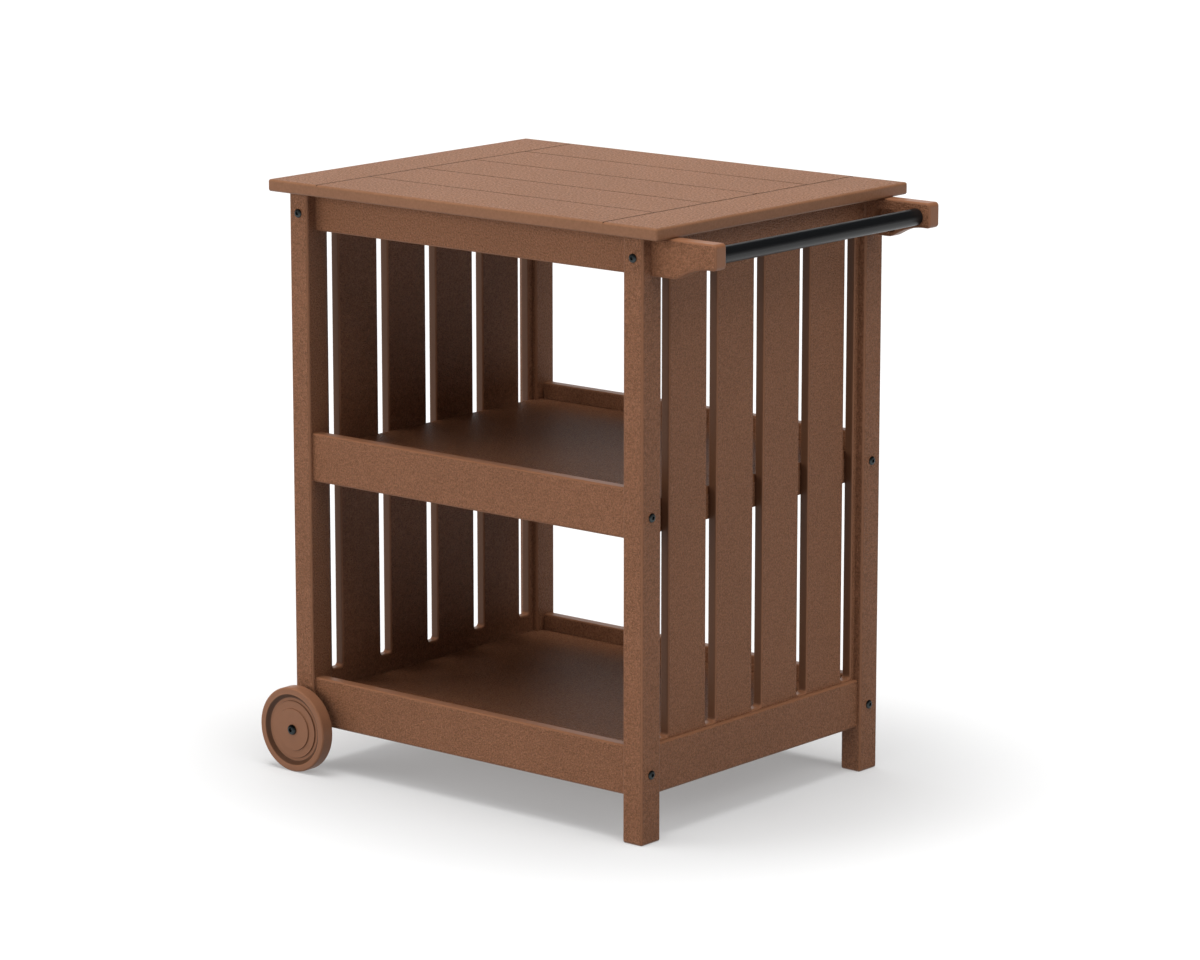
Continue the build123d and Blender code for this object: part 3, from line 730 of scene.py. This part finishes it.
def fastener_head(tree, sizes):
    """Domed head, from the middle of the socket's floor out over the dome and under to the shank."""
    work = arithmetic(tree)
    dome_end = SOCKET_ROWS + DOME_ROWS
    mesh, turn, row = fastener_grid(tree, HEAD_SEGMENTS, dome_end + 2)
    side = work("DIVIDE", math.tau, sizes["Socket Sides"])
    within = work("SUBTRACT", work("FLOORED_MODULO", turn, side), work("MULTIPLY", side, 0.5))
    socket = work("DIVIDE", sizes["Socket Radius"], work("COSINE", within))

    def passed(start, rows):
        """Rises from 0 to 1 over these rows of the grid."""
        return remap(tree, row, (start, start + rows))

    arc = work("MULTIPLY", work("SUBTRACT", 1.0, passed(SOCKET_ROWS, DOME_ROWS)), math.pi / 2)
    dome = work("MULTIPLY", work("SUBTRACT", sizes["Head Radius"], socket), work("COSINE", arc))
    inset = work("SUBTRACT", sizes["Shank Radius"], sizes["Head Radius"])
    under = work("MULTIPLY", inset, passed(dome_end + 1, 1))
    radius = work("ADD", work("MULTIPLY", work("ADD", socket, dome), passed(0, 1)), under)
    floor = work("SUBTRACT", sizes["Head Height"], sizes["Socket Depth"])
    wall = work("MULTIPLY", sizes["Socket Depth"], passed(1, 1))
    dome_height = work("SUBTRACT", sizes["Head Height"], sizes["Rim Height"])
    fall = work("MULTIPLY", dome_height, work("SUBTRACT", 1.0, work("SINE", arc)))
    rim = work("MULTIPLY", sizes["Rim Height"], passed(dome_end, 1))
    height = work("SUBTRACT", work("SUBTRACT", work("ADD", floor, wall), fall), rim)
    # Painted highlight on the dome's flat top, fading to painted shade on its rim; painted shade makes the
    # socket black
    fade = [SOCKET_ROWS + share * DOME_ROWS for share in PAINTED_HIGHLIGHT_FADE]
    lit = remap(tree, row, fade, (LIP_PAINTED_HIGHLIGHT, RIM_PAINTED_SHADE))
    tone = work("MINIMUM", lit, remap(tree, row, (SOCKET_ROWS - 1, SOCKET_ROWS), (SOCKET_PAINTED_SHADE, LIP_PAINTED_HIGHLIGHT)))
    return wrap(tree, mesh, turn, radius, height, tone)


def fastener_shank(tree, sizes, rows):
    """Shank: plain under the head, then a spiral thread, and a tip that closes to a point."""
    work = arithmetic(tree)
    mesh, turn, row = fastener_grid(tree, HEAD_SEGMENTS, rows)
    depth = work("MULTIPLY", row, work("DIVIDE", sizes["Length"], float(rows)))
    spiral = work("ADD", work("DIVIDE", depth, sizes["Thread Pitch"]), work("DIVIDE", turn, math.tau))
    ridge = work("ABSOLUTE", work("MULTIPLY_ADD", work("FRACT", spiral), 2.0, -1.0))
    thread_height = work("SUBTRACT", sizes["Thread Crest"], sizes["Thread Root"])
    thread = work("MULTIPLY_ADD", work("POWER", ridge, THREAD_CURVE), thread_height, sizes["Thread Root"])
    threaded = work("GREATER_THAN", depth, sizes["Plain Length"])
    step = work("MULTIPLY", work("SUBTRACT", thread, sizes["Shank Radius"]), threaded)
    left = work("DIVIDE", work("SUBTRACT", sizes["Length"], depth), sizes["Tip Length"])
    taper = work("MAXIMUM", work("MINIMUM", left, 1.0), 0.0)
    radius = work("MULTIPLY", work("ADD", sizes["Shank Radius"], step), taper)
    return wrap(tree, mesh, turn, radius, work("MULTIPLY", depth, -1.0), 1.0)


def build_fastener(name, rows):
    """Node tree: a fastener on every point it is given, turned to the point's outward direction."""
    takes = [(size, "NodeSocketFloat", None) for size in HEAD_SIZES + SHANK_SIZES + THREAD_SIZES]
    takes = [("Seats", "NodeSocketGeometry", None), *takes, ("Finish", "NodeSocketMaterial", None)]
    gives = (("Fasteners", "NodeSocketGeometry"),)
    tree, given, out = group_tree(name, takes, gives, "GeometryNodeTree")
    shape = put(tree, "GeometryNodeJoinGeometry")
    tree.links.new(fastener_head(tree, given), shape.inputs[0])
    tree.links.new(fastener_shank(tree, given, rows), shape.inputs[0])
    closed = {"Geometry": shape.outputs[0], "Distance": WELD}
    closed = put(tree, "GeometryNodeMergeByDistance", closed).outputs[0]
    smooth = put(tree, "GeometryNodeSetShadeSmooth", {"Geometry": closed, "Shade Smooth": True}).outputs[0]
    angle = put(tree, "GeometryNodeInputMeshEdgeAngle").outputs["Unsigned Angle"]
    sharp = {0: angle, 1: SHARP_ANGLE}
    sharp = put(tree, "FunctionNodeCompare", sharp, operation="GREATER_THAN").outputs[0]
    crisp = {"Geometry": smooth, "Selection": sharp, "Shade Smooth": False}
    crisp = put(tree, "GeometryNodeSetShadeSmooth", crisp, domain="EDGE").outputs[0]
    outward = {"Name": "outward"}
    outward = put(tree, "GeometryNodeInputNamedAttribute", outward, data_type="FLOAT_VECTOR").outputs[0]
    turned = put(tree, "FunctionNodeAlignRotationToVector", {"Vector": outward}, axis="Z").outputs[0]
    placed = {"Points": given["Seats"], "Instance": crisp, "Rotation": turned}
    placed = put(tree, "GeometryNodeInstanceOnPoints", placed).outputs[0]
    plain = put(tree, "GeometryNodeRealizeInstances", {"Geometry": placed}).outputs[0]
    finished = {"Geometry": plain, "Material": given["Finish"]}
    wire(tree, out, {"Fasteners": put(tree, "GeometryNodeSetMaterial", finished).outputs[0]})
    return tree


def unit(axis):
    return Vector([1.0 if index == axis else 0.0 for index in range(3)])


def off_axis(offset, axis):
    """How far an offset leads away from an axis."""
    return (offset - offset[axis] * unit(axis)).length


def separate_solids(shape):
    """The points of each solid in a mesh of several."""
    waiting, solids = set(shape.verts), []
    while waiting:
        points, reached = [], [waiting.pop()]
        while reached:
            vertex = reached.pop()
            points.append(vertex.co.copy())
            beside = {edge.other_vert(vertex) for edge in vertex.link_edges} & waiting
            waiting -= beside
            reached.extend(beside)
        solids.append(points)
    return solids


def fastener_seats(node, head_height, head_radius):
    """Seat, outward direction and length of each fastener in a node, read from its solids."""
    shape = bmesh.new()
    shape.from_mesh(nodes[node].data)
    bmesh.ops.remove_doubles(shape, verts=shape.verts, dist=WELD)
    seats = []
    for points in separate_solids(shape):
        low = Vector([min(point[axis] for point in points) for axis in range(3)])
        high = Vector([max(point[axis] for point in points) for axis in range(3)])
        spans = high - low
        along = max(range(3), key=lambda axis: spans[axis])
        middle = (low + high) / 2
        reach = RIM_SHARE * head_radius
        rim = [point[along] for point in points if off_axis(point - middle, along) > reach]
        sign = 1.0 if sum(rim) / len(rim) > middle[along] else -1.0
        seat = middle.copy()
        seat[along] = (high[along] if sign > 0 else low[along]) - sign * head_height
        seats.append((seat, sign * unit(along), spans[along] - head_height))
    shape.free()
    return sorted(seats, key=lambda found: tuple(round(part, LENGTH_DIGITS) for part in found[0]))


def shape_fasteners(name, seats, length, material, sizes):
    """Mesh of the fasteners of one length, made on their seats."""
    mesh = bpy.data.meshes.new(f"{name}_seats")
    mesh.from_pydata([seat for seat, _ in seats], [], [])
    directions = mesh.attributes.new("outward", "FLOAT_VECTOR", "POINT")
    for index, (_, outward) in enumerate(seats):
        directions.data[index].vector = outward
    seated = add_object(f"{name}_seats", mesh)
    plain = length - sizes["Thread Length"]
    values = {**sizes, "Length": length, "Plain Length": plain, "Finish": material}
    modifier = seated.modifiers.new("fasteners", "NODES")
    modifier.node_group = build_fastener(f"{name}_shape", max(FEWEST_SHANK_ROWS, int(length / SHANK_ROW)))
    for item in modifier.node_group.interface.items_tree:
        if item.in_out == "INPUT" and item.name in values:
            modifier[item.identifier] = values[item.name]
    view = bpy.context.evaluated_depsgraph_get()
    result = bpy.data.meshes.new_from_object(seated.evaluated_get(view), depsgraph=view)
    bpy.data.objects.remove(seated)
    bpy.data.meshes.remove(mesh)
    return result


def make_fasteners(node, material, sizes):
    """Replaces a node's plain fasteners by finished ones on the same seats."""
    name = f"{node}_detailed"
    joined = bmesh.new()
    found = fastener_seats(node, sizes["Head Height"], sizes["Head Radius"])
    for length in sorted({round(size, LENGTH_DIGITS) for _, _, size in found}):
        alike = [(seat, outward) for seat, outward, size in found if round(size, LENGTH_DIGITS) == length]
        shaped = shape_fasteners(name, alike, length, material, sizes)
        joined.from_mesh(shaped)
        bpy.data.meshes.remove(shaped)
    mesh = bpy.data.meshes.new(name)
    joined.to_mesh(mesh)
    joined.free()
    mesh.materials.append(material)
    piece = add_object(name, mesh)
    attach(piece, "frame")
    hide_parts(node)


# The black coat shows the painted shade and highlight stored on the fasteners
hardware_coat = black_coat("hardware_black", HARDWARE_BLACK, HARDWARE_GRAIN, HARDWARE_ROUGHNESS, True)
retune(hardware_coat, {"Metallic": 1.0})
BUTTON_SCREW = {
    "Head Radius": 0.0067,
    "Head Height": 0.0029,
    "Rim Height": 0.0007,
    "Socket Sides": 6.0,
    "Socket Radius": 0.0027,
    "Socket Depth": 0.0022,
    "Shank Radius": 0.0032,
    "Thread Root": 0.0022,
    "Thread Crest": 0.0032,
    "Thread Pitch": 0.0028,
    "Thread Length": 0.025,
    "Tip Length": 0.006,
}
for node in ("end_apron_screws", "long_apron_screws", "rail_screws"):
    make_fasteners(node, hardware_coat, BUTTON_SCREW)

AXLE_BOLT = {
    "Head Radius": 0.0080,
    "Head Height": 0.0044,
    "Rim Height": 0.0010,
    "Socket Sides": 6.0,
    "Socket Radius": 0.0031,
    "Socket Depth": 0.0030,
    "Shank Radius": 0.00475,
    "Thread Root": 0.0033,
    "Thread Crest": 0.0039,
    "Thread Pitch": 0.00125,
    "Thread Length": 0.024,
    "Tip Length": 0.0012,
}
for side in SIDES:
    make_fasteners(f"{side}_axle_bolt", hardware_coat, AXLE_BOLT)


# Cleat and angle screws
# Small stainless pan-head screws with a square drive, out of sight. Sixteen fix the shelf cleats, and
# eight fix the steel angles.
SMALL_SCREW_STRETCH = (1.0, 1.0, 1.0)
SMALL_SCREW_ROUGHNESS = 0.30
PAN_SCREW = {
    "Head Radius": 0.0040,
    "Head Height": 0.0024,
    "Rim Height": 0.0012,
    "Socket Sides": 4.0,
    "Socket Radius": 0.0012,
    "Socket Depth": 0.0015,
    "Shank Radius": 0.0020,
    "Thread Root": 0.0014,
    "Thread Crest": 0.0020,
    "Thread Pitch": 0.0018,
    "Thread Length": 0.009,
    "Tip Length": 0.003,
}
small_steel = steel("small_screw_steel", SMALL_SCREW_STRETCH, SMALL_SCREW_ROUGHNESS)
for node in ("cleat_screws", "angle_screws"):
    make_fasteners(node, small_steel, PAN_SCREW)
